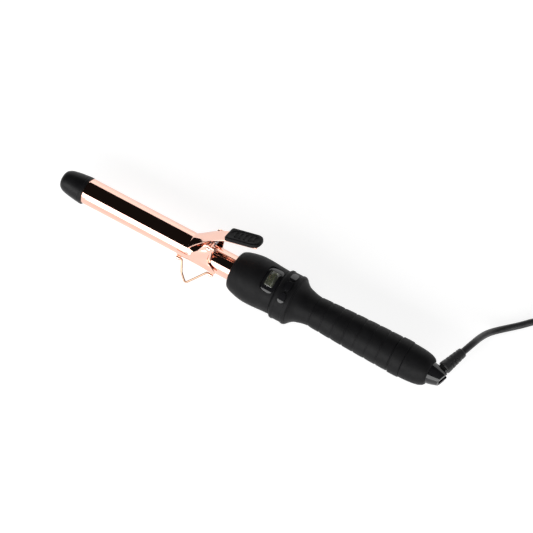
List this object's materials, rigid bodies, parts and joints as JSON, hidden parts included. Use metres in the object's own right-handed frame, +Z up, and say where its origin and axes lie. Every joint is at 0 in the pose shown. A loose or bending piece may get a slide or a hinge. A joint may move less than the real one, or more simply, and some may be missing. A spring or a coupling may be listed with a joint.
{
  "type": "automatic hair curler",
  "caption": "Hair curling iron with a motor-turned heated barrel, a sprung clip, a wire stand, a push-button handle with a display and a swivelling mains lead.",
  "frame": {"origin": "middle of the underside of the iron without its lead, on the table it lies on", "axes": "+X along the tool axis from the cool tip to the lead, +Z up"},
  "size_m": [0.5464, 0.2446, 0.0706],
  "materials": {
    "rose_gold_tube": "polished",
    "rose_gold": "polished",
    "soft_black": "soft-touch matte",
    "tip_black": "fine matte",
    "grip_rubber": "soft-touch matte",
    "gloss_black": "gloss",
    "lens": "gloss",
    "lcd": "satin",
    "board_green": "satin",
    "nylon": "satin",
    "heat_plastic": "matte",
    "ceramic": "matte",
    "raw_aluminium": "extruded",
    "steel": "brushed",
    "spring_steel": "drawn wire",
    "brass": "polished",
    "copper": "satin",
    "cord_black": "satin",
    "plug_black": "satin",
    "tie_black": "matte"
  },
  "bodies": {
    "lead": {"strain_relief": "cord_black", "cord_tube": "cord_black", "cord_coil": "cord_black", "coil_tie": "tie_black", "cord_tail": "cord_black", "plug_body": "plug_black", "plug_blades": "brass"},
    "swivel": {"swivel_cone": "gloss_black", "swivel_clip": "spring_steel", "swivel_pin": "steel"},
    "handle": {"front_housing": "soft_black", "lcd_window": "lens", "lcd_module": "lcd", "control_pcb": "board_green", "control_collar": "soft_black", "button_switches": "board_green", "handle_core": "heat_plastic", "core_screws": "steel", "grip_sleeve": "grip_rubber", "rear_cap": "soft_black", "front_bearing": "brass", "gear_motor": "steel", "motor_bracket": "nylon", "brush_holder": "heat_plastic", "power_board": "board_green", "power_leads": "copper", "swivel_contacts": "heat_plastic"},
    "barrel": {"barrel_tube": "rose_gold_tube", "cool_tip": "tip_black", "tip_insulator": "ceramic", "heater_block_upper": "raw_aluminium", "heater_block_lower": "raw_aluminium", "ceramic_heater": "ceramic", "thermistor": "copper", "barrel_hub": "heat_plastic", "barrel_gear": "nylon", "slip_rings": "copper", "pivot_bracket": "rose_gold", "hinge_pin": "rose_gold", "clamp_spring": "spring_steel"},
    "clamp": {"clamp_spoon": "rose_gold", "thumb_pad": "tip_black", "pad_rivets": "rose_gold"},
    "stand": {"stand_wire": "rose_gold"},
    "motor": {"motor_pinion": "nylon", "motor_shaft": "steel"},
    "left_key": {"rotate_left_button": "gloss_black"},
    "power_key": {"power_button": "gloss_black"},
    "right_key": {"rotate_right_button": "gloss_black"}
  },
  "joints": [
    {"name": "cord_tilt", "type": "hinge", "parent": "lead", "child": "swivel", "pos_m": [0.20176, -0.00021, 0.0252], "axis": [0, 0, 1], "range_deg": [-6, 74]},
    {"name": "swivel_spin", "type": "hinge", "parent": "swivel", "child": "handle", "pos_m": [0.18746, -0.00001, 0.0252], "axis": [1, 0, 0], "continuous": true},
    {"name": "barrel_spin", "type": "hinge", "parent": "handle", "child": "barrel", "pos_m": [0.00046, -0.00001, 0.0252], "axis": [1, 0, 0], "continuous": true},
    {"name": "pinion_spin", "type": "hinge", "parent": "handle", "child": "motor", "pos_m": [0.00846, -0.00001, 0.0102], "axis": [1, 0, 0], "continuous": true},
    {"name": "clamp_open", "type": "hinge", "parent": "barrel", "child": "clamp", "pos_m": [-0.04354, 0.00844, 0.04333], "axis": [0, 0.9063, -0.4226], "range_deg": [0, 15], "stiffness_Nm_per_rad": 1.2, "springref_deg": -14.32},
    {"name": "stand_fold", "type": "hinge", "parent": "barrel", "child": "stand", "pos_m": [-0.05454, -0.01352, 0.0174], "axis": [1, 0, 0], "range_deg": [0, 64]},
    {"name": "left_key_press", "type": "slide", "parent": "handle", "child": "left_key", "axis": [0, -0.5, -0.866], "range_m": [0, 0.0008], "stiffness_N_per_m": 800, "springref_m": -0.0005},
    {"name": "power_key_press", "type": "slide", "parent": "handle", "child": "power_key", "axis": [0, 0, -1], "range_m": [0, 0.0008], "stiffness_N_per_m": 800, "springref_m": -0.0005},
    {"name": "right_key_press", "type": "slide", "parent": "handle", "child": "right_key", "axis": [0, 0.5, -0.866], "range_m": [0, 0.0008], "stiffness_N_per_m": 800, "springref_m": -0.0005}
  ],
  "couplings": [
    {"joint": "pinion_spin", "follows": "barrel_spin", "ratio": -2.5714}
  ]
}
